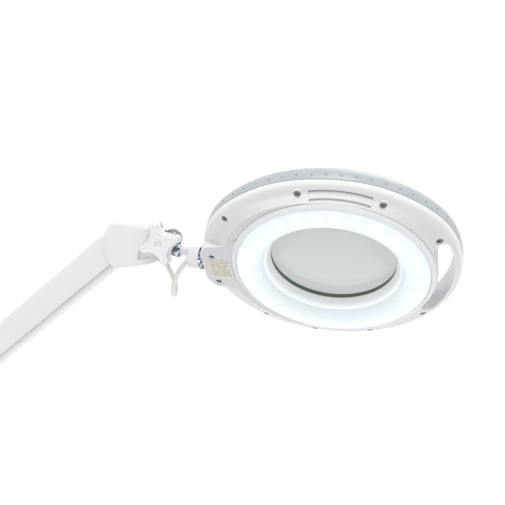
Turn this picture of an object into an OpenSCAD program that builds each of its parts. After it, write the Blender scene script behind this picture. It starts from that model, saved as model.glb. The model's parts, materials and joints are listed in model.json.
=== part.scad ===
// Bench magnifying lamp: ring-lit oval head with a built-in handle slot, a tilting and
// swivelling knuckle, two spring-balanced channel arms and a screw clamp.
// The origin is on the swivel axis, on the face of the clamp jaw that rests on the bench.
// +X runs in the plane of the arms towards the head, +Z is up.

/* [Arms] */
// Distance between the end pivots of each arm
arm_length = 380; // [340:5:420]
// Slope of the upper arm above the horizontal
upper_slope = 38.5; // [20:0.5:50]
// Direction of the lower arm, measured from +X
lower_slope = 120; // [100:1:130]
// Outside width of the outer channels
channel_w = 30; // [29:0.5:31]
// Distance between the two pivots at each end of an arm
pivot_gap = 21; // [20:0.5:22]

/* [Head] */
// Largest radius of the head's rounded ends
head_r = 111.5; // [108:0.5:115]
// How much longer than wide the head is
head_stretch = 9.5; // [4:0.5:14]
// Turn of the head about its neck, towards the viewer
head_roll = 50; // [0:1:60]
// Radius of the lens glass
lens_r = 63.5; // [62:0.5:64]
// Number of lamps in each row of the light ring
led_count = 30; // [20:1:36]

/* [Clamp] */
// Gap between the clamp jaws at rest
jaw_gap = 30; // [20:1:36]
// Outside diameter of the clamp screw
clamp_screw_d = 12; // [10:1:12]

/* [Hidden] */
$fn = 96;
eps = 0.01;

white = "whitesmoke";
steel = "silver";
running = 0.05;

// Channel sections: heights are above the pivot line
wall = 1.6;
outer_top = 9.75;
outer_bottom = -16.9;
inner_wall = 1.4;
inner_w = 25.4;
inner_top = 6;
inner_bottom = -5.2;
ear_len = 22;
pin_r = 3;
ear_out = 11;
ear_thick = 2;
cheek_in = 15.4;
cheek_out = 17.4;

// Places of the pivots in the plane of the arms, as [x, z]
base_z = 72;
base_a = [-pivot_gap / 2, base_z];
base_b = [pivot_gap / 2, base_z];
lower_reach = [arm_length * cos(lower_slope), arm_length * sin(lower_slope)];
upper_reach = [arm_length * cos(upper_slope), arm_length * sin(upper_slope)];
elbow_a = base_a + lower_reach;
elbow_b = base_b + lower_reach;
elbow_d = elbow_a + [12, 27];
elbow_c = elbow_d + [0, pivot_gap];
elbow_bolt_at = elbow_a + [-3, 26];
elbow_loop = [elbow_a, elbow_b, elbow_c, elbow_bolt_at];
end_c = elbow_c + upper_reach;
end_d = elbow_d + upper_reach;
tilt_at = end_c + [45, -6.5];
neck_at = end_c + [200, -22.5];

// Tension springs: the anchor is this far above the pivot, the far pin this far along the arm
spring_lift = 6;
spring_start = 30;
spring_pin_x = 165;
spring_r = 3.4;

// Knuckle
knob_r = 20;
knob_back = -18;
knob_front = -29;
knob_turn = 17;
rod_lift = 5.5;
rod_r = 4;
collar_r = 10.5;
neck_face = -121;

// Head levels, measured from the neck axis towards the back of the head
seam_z = 2;
face_z = -11;
back_z = 22.2;
ring_hole_r = 88.5;
slot_in = 91;
slot_out = 104;
// Half the hand slot's sweep, and its turn off the head's long axis
slot_angle = 24.5;
slot_turn = 4;
screw_places = [[88.5, -45], [43.5, -87.5], [-21.5, -97.5], [-86, -66], [-108.3, -16.5],
  [82, 57.5], [33.5, 92.3], [-21.5, 95.5], [-70, 75], [-108.5, 20.5]];
screw_face_z = -6.4;
lid_hinge = [-74, 27];
vent_radii = [93.5, 97.6];
vent_from = -98.5;
vent_to = -67.5;

// Route of the short cable between the arm end and the neck collar
cable_r = 2.3;
cable_route = [[-169, 5, -3.8], [-167, 5, -4.3], [-164.6, 5.1, -5.7], [-162.2, 5.5, -8.2],
  [-160.4, 6.1, -11.4], [-158.8, 7, -15.4], [-157.2, 8.2, -20], [-155.8, 9.2, -24.6],
  [-154.4, 9.4, -29], [-153.2, 8, -33.2], [-152.2, 4.8, -36.4], [-151.4, 0, -37.6],
  [-150.6, -4.8, -36.4], [-149.8, -8, -33.2], [-149, -9.4, -29], [-148.2, -9.2, -24.6],
  [-147, -8.2, -20], [-145.4, -6.6, -15.6], [-143.4, -4.4, -11.4], [-141, -2.4, -7.8],
  [-139.4, -1.3, -5.6], [-137, -0.3, -4.3]];
// Where the cable leaves the arm end: y, and height below the neck axis
cable_exit = [5, -4.2];

// ---------- shared shapes ----------

// A cylinder along Y from y0 to y1 at [x, z]
module pin_y(at, r, y0, y1) {
  translate([at[0], y1, at[1]]) rotate([90, 0, 0]) cylinder(r = r, h = y1 - y0);
}

// A cylinder along X from x0 to x1 at [y, z]
module pin_x(at, r, x0, x1) {
  translate([x0, at[0], at[1]]) rotate([0, 90, 0]) cylinder(r = r, h = x1 - x0);
}

// A side outline in the plane of the arms, thickened from y0 to y1
module plate_y(y0, y1) {
  translate([0, y1, 0]) rotate([90, 0, 0]) linear_extrude(y1 - y0) children();
}

// The same outline on both sides, between the distances y0 and y1 from the middle
module plates_y(y0, y1) {
  plate_y(y0, y1) children();
  plate_y(-y1, -y0) children();
}

module dot(at, r) { translate(at) circle(r = r); }

// A flat outline round a loop of points, taken anticlockwise, with round corners
module round_plate(points, r) {
  n = len(points);
  flank = 0.94 * r;
  polygon([for (i = [0 : n - 1])
    let (a = points[i], b = points[(i + 1) % n], d = (b - a) / norm(b - a), out = flank * [d[1], -d[0]])
    each [a + out, b + out]]);
  for (p = points) dot(p, r);
}

module box(low, high) { translate(low) cube(high - low); }

// Puts an arm part, drawn along +X, on its pivot
module on_arm(at, slope) { translate([at[0], 0, at[1]]) rotate([0, -slope, 0]) children(); }

// ---------- arm parts, drawn along +X from the first pivot ----------

module outer_section() {
  r = 3;
  difference() {
    union() {
      translate([-channel_w / 2, outer_bottom]) square([channel_w, outer_top - r - outer_bottom]);
      translate([-channel_w / 2 + r, outer_top - r - eps]) square([channel_w - 2 * r, r + eps]);
      for (s = [-1, 1]) dot([s * (channel_w / 2 - r), outer_top - r], r);
    }
    translate([-channel_w / 2 + wall, outer_bottom - 1])
      square([channel_w - 2 * wall, outer_top - wall - outer_bottom + 1]);
  }
}

module inner_section() {
  difference() {
    translate([-inner_w / 2, inner_bottom]) square([inner_w, inner_top - inner_bottom]);
    translate([-inner_w / 2 + inner_wall, inner_bottom + inner_wall])
      square([inner_w - 2 * inner_wall, inner_top - inner_bottom]);
  }
}

// Cuts above and below the slim ears at one end of a channel
module ear_cuts(top, bottom, ear_r) {
  plate_y(-channel_w, channel_w) {
    polygon([[-20, ear_r], [ear_len - 8, ear_r], [ear_len, top + eps], [ear_len, top + 9], [-20, top + 9]]);
    polygon([[-20, -ear_r], [ear_len - 8, -ear_r], [ear_len, bottom - eps], [ear_len, bottom - 9],
      [-20, bottom - 9]]);
  }
}

// A channel with its two pairs of pierced ears: y_in and y_out are the faces of its side walls
module channel(top, bottom, ear_r, y_in, y_out) {
  difference() {
    union() {
      difference() {
        rotate([90, 0, 90]) linear_extrude(arm_length) children();
        ear_cuts(top, bottom, ear_r);
        translate([arm_length, 0, 0]) mirror([1, 0, 0]) ear_cuts(top, bottom, ear_r);
      }
      for (x = [0, arm_length], s = [-1, 1])
        pin_y([x, 0], ear_r, min(s * y_in, s * y_out), max(s * y_in, s * y_out));
    }
    for (x = [0, arm_length]) pin_y([x, 0], pin_r + running, -20, 20);
  }
}

module outer_channel() {
  difference() {
    channel(outer_top, outer_bottom, 5.5, channel_w / 2 - wall, channel_w / 2) outer_section();
    pin_y([spring_pin_x, 0], 2, -20, 20);
  }
}

module inner_channel() {
  difference() {
    channel(inner_top, inner_bottom, 5, inner_w / 2 - inner_wall, inner_w / 2) inner_section();
    for (x = [0, arm_length])
      box([x - 15, -inner_w / 2 + inner_wall, -10], [x + 15, inner_w / 2 - inner_wall, 10]);
  }
}

// Coil stand-in with wire hooks, from the anchor above the pivot to the pin in the channel
module arm_spring(slope) {
  anchor = spring_lift * [sin(slope), cos(slope)];
  reach = [spring_pin_x, 0] - anchor;
  len = norm(reach);
  translate([anchor[0], 0, anchor[1]]) rotate([0, -atan2(reach[1], reach[0]), 0]) {
    difference() {
      pin_x([0, 0], spring_r, spring_start, len - 18);
      pin_x([0, 0], spring_r - 1.2, spring_start + 1.5, len - 19.5);
    }
    pin_x([0, 0], 0.8, 4, spring_start + eps);
    pin_x([0, 0], 0.8, len - 18 - eps, len - 2.1);
  }
}

// ---------- clamp ----------

module clamp_frame() {
  color(white) difference() {
    union() {
      // upper jaw, back and lower jaw
      box([-37, -20, 1.5], [26, 20, 11.5]);
      box([-37, -16, -86], [-27, 16, 11.5]);
      box([-37, -16, -86], [4, 16, -74]);
      translate([4, 0, -86]) cylinder(r = 16, h = 12);
      // corner ribs
      plate_y(-4, 4) polygon([[-43, 7], [-43, -72], [-37, -82], [-36, -82], [-36, 11.5], [-38, 11.5]]);
      // socket for the spigot, with its flare
      translate([0, 0, 11.5 - eps]) cylinder(r = 15, h = 30 + eps);
      translate([0, 0, 11.5 - eps]) cylinder(r1 = 19, r2 = 15, h = 5);
      pin_y([0, 28], 7, -19, -10);
    }
    translate([0, 0, 7]) cylinder(r = 8.5, h = 40);
    translate([0, 0, -90]) cylinder(r = clamp_screw_d / 2 + running, h = 20);
    pin_y([0, 28], 3 + running, -25, 0);
  }
}

module jaw_liner() {
  color("dimgray") box([-24, -18, 0], [24, 18, 1.5]);
}

module socket_bush() {
  color("gainsboro") difference() {
    union() {
      translate([0, 0, 7]) cylinder(r = 8.5, h = 34.5);
      translate([0, 0, 41.5]) cylinder(r = 12, h = 1.5);
    }
    translate([0, 0, 8.5]) cylinder(r = 6.35 + running, h = 40);
    pin_y([0, 28], 3.3, -25, 0);
  }
}

module socket_knob() {
  color(white) {
    pin_y([0, 28], 3, -21, -6.7);
    difference() {
      pin_y([0, 28], 13, -33, -21);
      for (a = [0 : 60 : 300])
        translate([0, 0, 28]) rotate([0, a, 0]) translate([0, 0, -28]) pin_y([15.5, 28], 5, -34, -20);
    }
  }
}

module clamp_screw() {
  color(steel) {
    translate([0, 0, -jaw_gap - 106]) cylinder(r = clamp_screw_d / 2, h = 97);
    translate([0, 0, -jaw_gap - 9 - eps]) cylinder(r = 4, h = 5);
  }
}

module clamp_handle() {
  z = -jaw_gap - 118;
  color("dimgray") difference() {
    union() {
      translate([0, 0, z]) cylinder(r = 9, h = 18);
      for (s = [-1, 1]) {
        translate([s * 22, 0, z]) cylinder(r = 8, h = 12);
        box([min(0, s * 22), -6, z], [max(0, s * 22), 6, z + 12]);
      }
    }
    translate([0, 0, z + 12]) cylinder(r = clamp_screw_d / 2, h = 10);
  }
}

module clamp_pad() {
  color(steel) difference() {
    union() {
      translate([0, 0, -jaw_gap - 3.5]) cylinder(r = 17, h = 2);
      translate([0, 0, -jaw_gap - 8.9]) cylinder(r1 = 8, r2 = 13, h = 5.4 + eps);
    }
    translate([0, 0, -jaw_gap - 10]) cylinder(r = 4 + running, h = 6.1);
  }
}

module pad_liner() {
  color("dimgray") translate([0, 0, -jaw_gap - 1.5]) cylinder(r = 17, h = 1.5);
}

// ---------- swivel base ----------

module spigot() {
  color(steel) {
    translate([0, 0, 9]) cylinder(r = 6.35, h = 35);
    translate([0, 0, 43.2]) cylinder(r = 11, h = 2.8);
  }
}

module base_bracket() {
  color(steel) difference() {
    union() {
      plates_y(ear_out - ear_thick, ear_out) {
        for (p = [base_a, base_b]) round_plate([p, [p[0], 53]], 7);
        translate([-17.5, 46]) square([35, 12]);
      }
      box([-17.5, -ear_out, 46], [17.5, ear_out, 49]);
      pin_y(base_a + [0, spring_lift], 1.5, -ear_out, ear_out);
    }
    for (p = [base_a, base_b]) pin_y(p, pin_r, -20, 20);
  }
}

module base_cover() {
  color(white) difference() {
    union() {
      plate_y(-cheek_out, cheek_out) polygon([[-28, 46], [28, 46], [28, 62], [18, 82], [-18, 82], [-28, 62]]);
      translate([0, 0, 43.2]) cylinder(r = 16, h = 4);
    }
    box([-26, -cheek_in, 49], [26, cheek_in, 90]);
    box([-40, -cheek_in, 60], [40, cheek_in, 90]);
    box([-17.5, -ear_out, 45.9], [17.5, ear_out, 50]);
    translate([0, 0, 43]) cylinder(r = 11, h = 4);
    pin_x([0, 54], 4, -40, -20);
  }
}

module lead_inlet() {
  color("dimgray") difference() {
    union() {
      pin_x([0, 54], 4, -28, -26);
      pin_x([0, 54], 6.5, -30.5, -28);
      pin_x([0, 54], 4.9, -26, -24.5);
    }
    pin_x([0, 54], 2.6, -31, -24);
  }
}

module base_pins() {
  color(steel) {
    pin_y(base_a, pin_r, -15.2, 15.2);
    pin_y(base_b, pin_r, -12.9, 12.9);
  }
}

// ---------- lower arm ----------

module lower_channel() { color(white) on_arm(base_a, lower_slope) outer_channel(); }

module lower_link() { color(white) on_arm(base_b, lower_slope) inner_channel(); }

module lower_spring() { color(steel) on_arm(base_a, lower_slope) arm_spring(lower_slope); }

module lower_spring_pin() { color(steel) on_arm(base_a, lower_slope) pin_y([spring_pin_x, 0], 2, -15, 15); }

// ---------- elbow ----------

module elbow_bracket() {
  color(steel) difference() {
    union() {
      plates_y(ear_out - ear_thick, ear_out) round_plate(elbow_loop, 7);
      pin_y(elbow_c + [0, spring_lift], 1.5, -ear_out, ear_out);
    }
    for (p = [elbow_a, elbow_b, elbow_c, elbow_d, elbow_bolt_at]) pin_y(p, pin_r, -20, 20);
  }
}

module elbow_cover() {
  color(white) difference() {
    plate_y(-cheek_out, cheek_out) round_plate(elbow_loop, 15);
    plate_y(-cheek_in, cheek_in) round_plate(elbow_loop, 13);
    // openings for the two arms
    plate_y(-cheek_in, cheek_in) translate(elbow_a + [-16, -18]) square([60, 15]);
    plate_y(-cheek_in, cheek_in) translate(elbow_c + [-7, -60]) square([40, 80]);
    pin_y(elbow_bolt_at, pin_r, -20, 20);
  }
}

module elbow_pins() {
  color(steel) {
    for (p = [elbow_a, elbow_c]) pin_y(p, pin_r, -15.2, 15.2);
    for (p = [elbow_b, elbow_d]) pin_y(p, pin_r, -12.9, 12.9);
  }
}

module elbow_bolt() {
  color(steel) {
    pin_y(elbow_bolt_at, pin_r, -27, 17.4);
    pin_y(elbow_bolt_at, 6, 17.4, 21);
  }
}

// Four-lobed grip with hollow sides
module star_2d(r) {
  difference() {
    circle(r = r);
    for (a = [0 : 90 : 270]) rotate(a + 45) translate([r * 1.2, 0]) circle(r = r * 0.65);
  }
}

module elbow_knob() {
  color(white) difference() {
    union() {
      pin_y(elbow_bolt_at, 7, -22, -17.6);
      translate([elbow_bolt_at[0], -22, elbow_bolt_at[1]]) rotate([90, 0, 0]) linear_extrude(9) star_2d(17);
    }
    pin_y(elbow_bolt_at, pin_r + running, -27.05, -17);
  }
}

// ---------- upper arm ----------

module upper_channel() { color(white) on_arm(elbow_c, upper_slope) outer_channel(); }

module upper_link() { color(white) on_arm(elbow_d, upper_slope) inner_channel(); }

module upper_spring() { color(steel) on_arm(elbow_c, upper_slope) arm_spring(upper_slope); }

module upper_spring_pin() { color(steel) on_arm(elbow_c, upper_slope) pin_y([spring_pin_x, 0], 2, -15, 15); }

// ---------- level block at the arm's end ----------

module at_end() { translate([end_c[0], 0, end_c[1]]) children(); }

module end_bracket() {
  color(steel) difference() {
    plates_y(ear_out - ear_thick, ear_out) {
      round_plate([end_c, end_d, tilt_at], 6.5);
      dot(tilt_at, 9);
    }
    for (p = [end_c, end_d, tilt_at]) pin_y(p, pin_r, -20, 20);
  }
}

// Side outline of the block, measured from the upper pivot, with its round left edge
module block_outline() {
  difference() {
    polygon([[-17, 10], [16, 10], [33, 9.5], [33, -28], [-3, -33.5], [-17, -33.5]]);
    difference() {
      translate([-20, -40]) square([22, 60]);
      dot([16, -11.5], 32.2);
    }
  }
}

module end_cover() {
  color(white) at_end() difference() {
    plate_y(-cheek_out, cheek_out) block_outline();
    box([-20, -cheek_in, -40], [1, cheek_in, 8]);
    box([-20, -cheek_in, 0], [-5, cheek_in, 20]);
    plate_y(-cheek_in, cheek_in) polygon([[0, 8], [31, 8], [31, -25.8], [0, -31]]);
    box([30, -ear_out - 0.4, -19], [34, ear_out + 0.4, 5]);
    // window under the knob
    box([20, -20, -25], [34, -8, -14]);
    pin_x([cable_exit[0], neck_at[1] - end_c[1] + cable_exit[1]], 3.4, 30, 34);
  }
}

module end_pins() {
  color(steel) {
    pin_y(end_c, pin_r, -15.2, 15.2);
    pin_y(end_d, pin_r, -12.9, 12.9);
  }
}

module tilt_bolt() {
  color(steel) {
    pin_y(tilt_at, pin_r, -25, ear_out);
    pin_y(tilt_at, 6.5, ear_out, ear_out + 4);
  }
}

module tilt_washers() {
  color(steel) difference() {
    for (s = [-1, 1]) pin_y(tilt_at, 8, min(s * 4.1, s * 9), max(s * 4.1, s * 9));
    pin_y(tilt_at, pin_r, -20, 20);
  }
}

module star_knob() {
  color(white) difference() {
    union() {
      pin_y(tilt_at, 8, knob_back, -ear_out - 0.2);
      translate([tilt_at[0], knob_back, tilt_at[1]]) rotate([90, knob_turn, 0]) linear_extrude(knob_back - knob_front)
        star_2d(knob_r);
    }
    pin_y(tilt_at, pin_r + running, -25.05, -10);
    pin_y(tilt_at, 3.5, knob_front - 1, knob_front + 1.5);
  }
}

// ---------- knuckle ----------

module tilt_tongue() {
  color(steel) difference() {
    union() {
      plate_y(-4, 4) {
        dot(tilt_at, 9);
        round_plate([tilt_at, [tilt_at[0] + 5, neck_at[1] + rod_lift]], 5.5);
      }
      pin_x([0, neck_at[1] + rod_lift], 6, tilt_at[0] + 6, tilt_at[0] + 11);
    }
    pin_y(tilt_at, pin_r + running, -20, 20);
  }
}

module neck_rod() {
  color(white) pin_x([0, neck_at[1] + rod_lift], rod_r, tilt_at[0] + 11, neck_at[0] - 136);
}

module neck_collar() {
  color(white) difference() {
    pin_x([0, neck_at[1]], collar_r, neck_at[0] - 136, neck_at[0] - 124);
    pin_x([0, neck_at[1]], 4, neck_at[0] - 132, neck_at[0] - 120);
  }
}

module neck_washer() {
  color(steel) difference() {
    pin_x([0, neck_at[1]], 11.4, neck_at[0] - 124, neck_at[0] + neck_face - 0.1);
    pin_x([0, neck_at[1]], 4, neck_at[0] - 130, neck_at[0] - 110);
  }
}

module neck_bolt() {
  color(steel) {
    pin_x([0, neck_at[1]], 4, neck_at[0] - 132, neck_at[0] - 98);
    pin_x([0, neck_at[1]], 7.5, neck_at[0] - 102.9, neck_at[0] - 98);
  }
}

module cable_bush() {
  color(white) at_end() difference() {
    union() {
      pin_x([cable_exit[0], neck_at[1] - end_c[1] + cable_exit[1]], 3.4, 31, 33);
      pin_x([cable_exit[0], neck_at[1] - end_c[1] + cable_exit[1]], 4.4, 33, 35);
    }
    pin_x([cable_exit[0], neck_at[1] - end_c[1] + cable_exit[1]], 2.8, 30, 36);
  }
}

// Points along a smooth curve through the route
function on_curve(p, i, t) =
  let (a = p[max(i - 1, 0)], b = p[i], c = p[i + 1], d = p[min(i + 2, len(p) - 1)])
  0.5 * (2 * b + (c - a) * t + (2 * a - 5 * b + 4 * c - d) * t * t + (3 * b - a - 3 * c + d) * t * t * t);
function curve(p, steps) = [for (i = [0 : len(p) - 2], k = [0 : steps - 1]) on_curve(p, i, k / steps), p[len(p) - 1]];
function unit(v) = v / norm(v);
// Direction of the curve at a ring, straight out of the holes at both ends
function heading(p, i) =
  i == 0 || i == len(p) - 1 ? [1, 0, 0] : unit(p[i + 1] - p[i - 1]);
// One ring of the tube, square to the curve
function tube_ring(at, dir, r, sides) =
  let (side = unit(cross(dir, [0.3, 0.1, 1])), up = cross(side, dir))
  [for (k = [0 : sides - 1]) at + r * (cos(360 * k / sides) * side + sin(360 * k / sides) * up)];

module tube(path, r, sides) {
  n = len(path);
  rings = [for (i = [0 : n - 1]) each tube_ring(path[i], heading(path, i), r, sides)];
  walls = [for (i = [0 : n - 2], k = [0 : sides - 1])
    let (a = i * sides + k, b = i * sides + (k + 1) % sides)
    each [[a, b, b + sides], [a, b + sides, a + sides]]];
  caps = [[for (k = [sides - 1 : -1 : 0]) k], [for (k = [0 : sides - 1]) (n - 1) * sides + k]];
  polyhedron(points = rings, faces = concat(walls, caps));
}

module cable_loop() {
  color(white) translate([neck_at[0], 0, neck_at[1]]) tube(curve(cable_route, 2), cable_r, 10);
}

// ---------- head, drawn about its neck axis with the light facing down ----------

module in_head() { translate([neck_at[0], 0, neck_at[1]]) rotate([-head_roll, 0, 0]) children(); }

// Sweeps a half profile round the head: two half turns joined by short straight sides
module round_oval() {
  rotate([0, 0, -90]) rotate_extrude(angle = 180) children();
  translate([-head_stretch, 0, 0]) rotate([0, 0, 90]) rotate_extrude(angle = 180) children();
  for (side = [0, 1]) mirror([0, side, 0])
    translate([-head_stretch, 0, 0]) rotate([90, 0, 90]) linear_extrude(head_stretch) children();
}

module disc(r, z0, z1) { translate([0, 0, z0]) cylinder(r = r, h = z1 - z0); }

module ring(r_in, r_out, z0, z1) {
  difference() {
    disc(r_out, z0, z1);
    disc(r_in, z0 - 1, z1 + 1);
  }
}

// Plan of the hand slot between the ring housing and the rim
module slot_2d(grow) {
  mid = (slot_in + slot_out) / 2;
  rotate(slot_turn) difference() {
    circle(r = slot_out + grow);
    circle(r = slot_in - grow);
    rotate(slot_angle) translate([-200, 0]) square(400);
    rotate(-slot_angle) translate([-200, -400]) square(400);
    translate([-300, -150]) square(300);
  }
  for (s = [-1, 1]) rotate(slot_turn + s * slot_angle) dot([mid, 0], 0.94 * (mid - slot_in + grow));
}

// Outer skins of the two shells, as half profiles of [radius, height]
bottom_skin = [[head_r - 1.5, seam_z], [head_r - 0.3, 0.4], [head_r - 1, -1.4], [head_r - 3.2, -3],
  [head_r - 7.5, -5], [head_r - 14, -7.8], [head_r - 21, face_z], [60, face_z]];
bottom_inside = [[60, face_z + 2], [head_r - 21.6, face_z + 2], [head_r - 14.6, -5.6],
  [head_r - 8.2, -3], [head_r - 4.2, -1.2], [head_r - 3.2, 0.4], [head_r - 3.5, seam_z]];
top_skin = [[head_r - 1.5, seam_z], [head_r - 0.2, 4.5], [head_r, 10], [head_r - 2, 15],
  [head_r - 7.5, 19], [head_r - 17, 21.3], [head_r - 30, back_z], [60, back_z]];
top_inside = [[60, back_z - 2], [head_r - 30.2, back_z - 2], [head_r - 17.6, 19.2],
  [head_r - 8.6, 17], [head_r - 4, 13.8], [head_r - 2.2, 9.6], [head_r - 2.4, 4.5], [head_r - 3.7, seam_z]];

module screw_spots() {
  for (p = screw_places) translate([p[0], p[1], 0]) children();
}

// Solid version of the shells, used to trim their inner walls
module filled(skin, low, high) {
  intersection() {
    round_oval() polygon(concat(skin, [[0, skin[len(skin) - 1][1]], [0, seam_z]]));
    box([-200, -200, low], [200, 200, high]);
  }
}

module bottom_shell() {
  color(white) in_head() difference() {
    union() {
      difference() {
        round_oval() polygon(concat(bottom_skin, bottom_inside));
        disc(ring_hole_r, -20, 20);
      }
      intersection() {
        filled(bottom_skin, face_z, seam_z);
        union() {
          difference() {
            linear_extrude(40, center = true) slot_2d(2);
            disc(ring_hole_r, -30, 30);
          }
          screw_spots() cylinder(r = 4.5, h = 40, center = true);
        }
      }
      // flat neck panel with its end wall
      difference() {
        box([neck_face, -31, face_z - 0.5], [-84, 31, seam_z]);
        disc(ring_hole_r, -20, 20);
      }
    }
    difference() {
      box([neck_face + 2, -29, face_z + 1.5], [-80, 29, seam_z + 1]);
      screw_spots() cylinder(r = 4.5, h = 60, center = true);
    }
    disc(90.1, -20, face_z);
    linear_extrude(80, center = true) slot_2d(0);
    screw_spots() cylinder(r = 1.6, h = 60, center = true);
    screw_spots() translate([0, 0, -30]) cylinder(r = 3, h = 30 + screw_face_z + 1.2);
    // cooling slots
    for (r = vent_radii) difference() {
      ring(r - 0.9, r + 0.9, -20, 0);
      for (a = [vent_from, vent_to + 180]) rotate(a) box([-200, -200, -30], [200, 0, 30]);
    }
    pin_x([0, 0], 4.5, -130, -110);
  }
}

module top_cover() {
  color("lightsteelblue") in_head() difference() {
    union() {
      round_oval() polygon(concat(top_skin, top_inside));
      intersection() {
        filled(top_skin, seam_z, back_z);
        union() {
          linear_extrude(60, center = true) slot_2d(2);
          screw_spots() cylinder(r = 4.5, h = 60, center = true);
        }
      }
      box([neck_face, -26, seam_z], [-104, 26, 14]);
      // hinge ears for the lens lid
      for (s = [-1, 1]) box([lid_hinge[0] - 3, s * 11 - 3, back_z - 1], [lid_hinge[0] + 3, s * 11 + 3, lid_hinge[1]]);
      for (s = [-1, 1]) pin_y(lid_hinge, 3, s * 11 - 3, s * 11 + 3);
    }
    // inside of the neck housing
    difference() {
      box([neck_face + 2, -24, seam_z - 1], [-97, 24, 12]);
      screw_spots() cylinder(r = 4.5, h = 60, center = true);
    }
    disc(66.6, -30, 60);
    linear_extrude(80, center = true) slot_2d(0);
    screw_spots() translate([0, 0, -1]) cylinder(r = 1.25, h = 13);
    pin_x([0, 0], 4.5, -130, -110);
    pin_y(lid_hinge, 1.5, -20, 20);
    translate([-96, 0, 0]) cylinder(r = 8, h = 60);
  }
}

module ring_bezel() {
  color(white) in_head() rotate_extrude() polygon([[ring_hole_r, face_z + 2], [ring_hole_r, face_z],
    [90, face_z], [86.6, -14], [85.6, -14.2], [85.6, -12.2], [86.4, face_z + 2]]);
}

module diffuser_ring() {
  color("azure") in_head() rotate_extrude() polygon(concat(
    [for (a = [0 : 15 : 180]) [76.2 + 9.4 * cos(a), -12.2 - 3.4 * sin(a)]],
    [for (a = [180 : -15 : 0]) [76.2 + 7.8 * cos(a), -11.4 - 2.4 * sin(a)]]));
}

module lens_housing() {
  color("white") in_head() rotate_extrude() polygon([[66.6, back_z], [66.6, -10.6], [66.8, -12.2],
    [65.6, -12.2], [58.5, 3], [58.5, 5], [64.5, 5], [64.5, back_z]]);
}

// Thickness of the lens at radius r
function lens_half(r) = 2 + 4.2 * (1 - r * r / (lens_r * lens_r));

module lens() {
  color("lightcyan", 0.4) in_head() translate([0, 0, 8]) rotate_extrude() polygon(concat(
    [for (i = [0 : 8]) [lens_r * i / 8, -lens_half(lens_r * i / 8)]],
    [for (i = [8 : -1 : 0]) [lens_r * i / 8, lens_half(lens_r * i / 8)]]));
}

module lens_gasket() {
  color("dimgray") in_head() ring(lens_r, 64.5, 6, 10);
}

module lens_retainer() {
  color(white) in_head() difference() {
    ring(60.5, 64.5, 10.6, 14);
    for (a = [0 : 120 : 240]) rotate(a) translate([62.5, 0, 0]) cylinder(r = 1.2, h = 40);
  }
}

module led_board() {
  color("white") in_head() ring(66.6, 84, -5.6, -4);
}

module led_chips() {
  color("lightyellow") in_head()
    for (row = [72, 80], k = [0 : led_count - 1]) rotate((k + (row > 75 ? 0.5 : 0)) * 360 / led_count)
      box([row - 1.4, -1.8, -6.4], [row + 1.4, 1.8, -5.6]);
}

module led_driver() {
  color("green") in_head() {
    box([-24, 67.5, 6], [24, 88, 7.6]);
    box([-20, 70, 7.6], [-4, 86, 17]);
    translate([6, 78, 7.6]) cylinder(r = 5, h = 9);
  }
}

module neck_block() {
  color(steel) in_head() difference() {
    box([neck_face + 2, -11.5, -8.5], [-103, 11.5, 8.5]);
    pin_x([0, 0], 4 + running, -130, -90);
  }
}

module shell_screws() {
  color("dimgray") in_head() screw_spots() {
    translate([0, 0, screw_face_z - 0.3]) cylinder(r = 2.7, h = 1.5);
    translate([0, 0, screw_face_z + 1]) cylinder(r = 1.25, h = 15);
  }
}

module rating_plate() {
  color("wheat") in_head() box([-114, -12, face_z - 1.2], [-92, 12, face_z - 0.5]);
}

module button_frame() {
  color(white) in_head() translate([-96, 0, 0]) difference() {
    union() {
      disc(8, 12, back_z);
      disc(10, back_z, back_z + 1.5);
    }
    disc(6, 10, 30);
  }
}

module power_button() {
  color("gainsboro") in_head() translate([-96, 0, 0]) disc(5.8, 14, back_z + 3.5);
}

module lens_lid() {
  color(white) in_head() difference() {
    union() {
      rotate_extrude() polygon([[0, 26], [40, 25.4], [60, 24.2], [67, 22.6], [69, 22.6], [69, 24.4],
        [61, 26], [40, 27.2], [0, 27.8]]);
      pin_y(lid_hinge, 3, -7.7, 7.7);
      box([lid_hinge[0], -7.7, lid_hinge[1] - 3], [-66, 7.7, lid_hinge[1] - 1]);
      box([66, -9, 22.6], [75, 9, 25]);
    }
    pin_y(lid_hinge, 1.5 + running, -20, 20);
  }
}

module lid_pin() {
  color(steel) in_head() pin_y(lid_hinge, 1.5, -14, 14);
}

clamp_frame();
jaw_liner();
socket_bush();
socket_knob();
clamp_screw();
clamp_handle();
clamp_pad();
pad_liner();
spigot();
base_bracket();
base_cover();
lead_inlet();
base_pins();
lower_channel();
lower_link();
lower_spring();
lower_spring_pin();
elbow_bracket();
elbow_cover();
elbow_pins();
elbow_bolt();
elbow_knob();
upper_channel();
upper_link();
upper_spring();
upper_spring_pin();
end_bracket();
end_cover();
end_pins();
tilt_bolt();
tilt_washers();
star_knob();
tilt_tongue();
neck_rod();
neck_collar();
neck_washer();
neck_bolt();
cable_bush();
cable_loop();
bottom_shell();
top_cover();
ring_bezel();
diffuser_ring();
lens_housing();
lens();
lens_gasket();
lens_retainer();
led_board();
led_chips();
led_driver();
neck_block();
shell_screws();
rating_plate();
button_frame();
power_button();
lens_lid();
lid_pin();
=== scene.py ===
"""Looks of a clamp-on magnifying lamp: oval head with ring light, knuckle, sprung arms and clamp.

Shapes are drawn in millimetres and shape_object() turns them into metres. The camera, the lights, the
floor and the matrices HEAD, LOWER_ARM and UPPER_ARM are in metres. Head pieces are drawn about the
ring light's centre, at the height of the neck's axis, with the light facing down. The springs are
drawn along +X from their arm's first pivot.
"""
import json
import math
import random

import bmesh
import bpy
from mathutils import Matrix, Vector


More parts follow.
